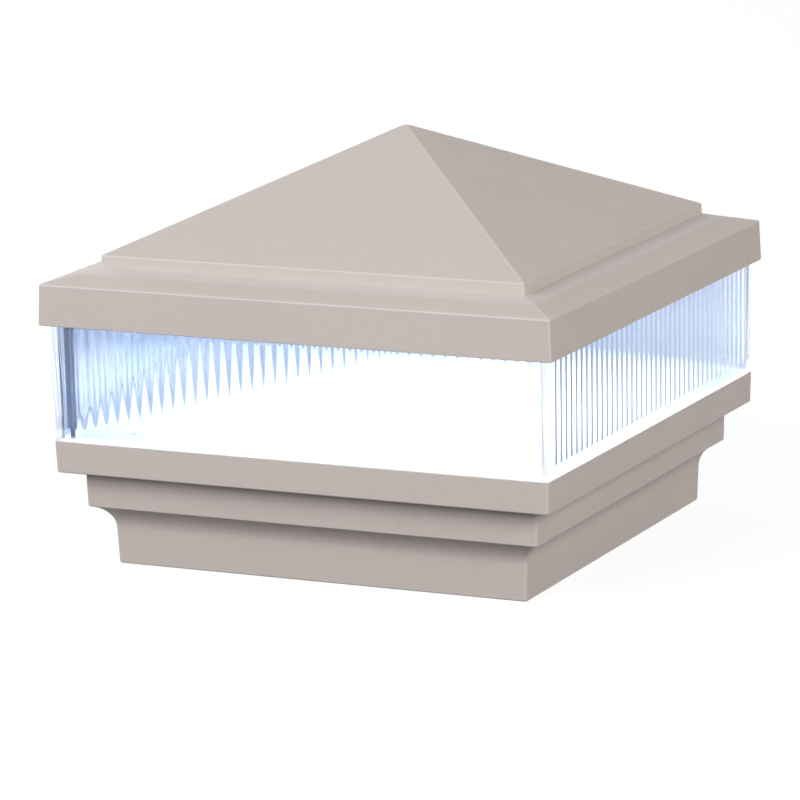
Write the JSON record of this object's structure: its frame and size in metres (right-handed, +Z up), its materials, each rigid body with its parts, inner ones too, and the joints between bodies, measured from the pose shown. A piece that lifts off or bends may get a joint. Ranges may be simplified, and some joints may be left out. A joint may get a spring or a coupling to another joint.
{
  "type": "deck post cap light",
  "caption": "Square deck post cap light with a pyramid roof that lifts off, a clear fluted lens on all four sides, a light unit under the roof and a stepped base that drops over a post.",
  "frame": {"origin": "centre of the collar's bottom edge, on the surface that the cap stands on", "axes": "+Z up through the roof's peak; the +Y and -Y sides and the +X and -X sides look alike; the inner leads rise in the -X, -Y corner"},
  "size_m": [0.1684, 0.1684, 0.1287],
  "materials": {
    "taupe_moulding": "semi-gloss injection moulded, UV-stable, warm taupe",
    "clear_lens": "clear moulded acrylic with vertical flutes inside",
    "white_reflector": "bright white reflector plastic",
    "white_steel": "white coated steel",
    "white_plastic": "white nylon",
    "ivory_plastic": "ivory nylon",
    "black_rubber": "soft black rubber",
    "foam_seal": "closed-cell foam",
    "black_lead": "flexible PVC insulation",
    "blue_lead": "flexible PVC insulation",
    "navy_sleeve": "heat-shrink sleeve",
    "steel": "zinc plated",
    "brass": "plain",
    "aluminium": "rolled sheet",
    "white_board": "white solder mask",
    "led_phosphor": "phosphor under clear resin, lit",
    "opal_diffuser": "opal, lit from behind",
    "green_board": "green solder mask",
    "black_component": "moulded epoxy",
    "capacitor_sleeve": "shrink sleeve",
    "ferrite": "ferrite core"
  },
  "bodies": {
    "base": {"base_moulding": "taupe_moulding", "lead_grommet": "black_rubber", "cord_clamp": "white_plastic", "terminal_block": "ivory_plastic", "terminal_cages": "brass", "terminal_screws": "steel", "wiring_screws": "steel", "floor_plate": "white_reflector", "floor_screws": "white_steel", "lens": "clear_lens", "lens_seal": "foam_seal", "supply_lead_black": "black_lead", "supply_lead_blue": "blue_lead", "lead_sleeve": "navy_sleeve", "lead_plug": "ivory_plastic"},
    "roof": {"roof_cap": "taupe_moulding", "ceiling_plate": "white_reflector", "ceiling_screws": "steel", "roof_seal": "foam_seal", "heat_spreader": "aluminium", "led_board": "white_board", "led_emitters": "led_phosphor", "led_cover": "opal_diffuser", "led_board_screws": "steel", "driver_board": "green_board", "driver_screws": "steel", "rectifier": "black_component", "capacitor": "capacitor_sleeve", "inductor": "ferrite", "driver_chip": "black_component", "chip_resistors": "black_component", "lead_socket": "ivory_plastic", "socket_pins": "brass", "head_leads": "black_lead", "led_leads": "black_lead"}
  },
  "joints": [
    {"name": "roof_lift", "type": "slide", "parent": "base", "child": "roof", "axis": [0, 0, 1], "range_m": [0, 0.06]}
  ]
}
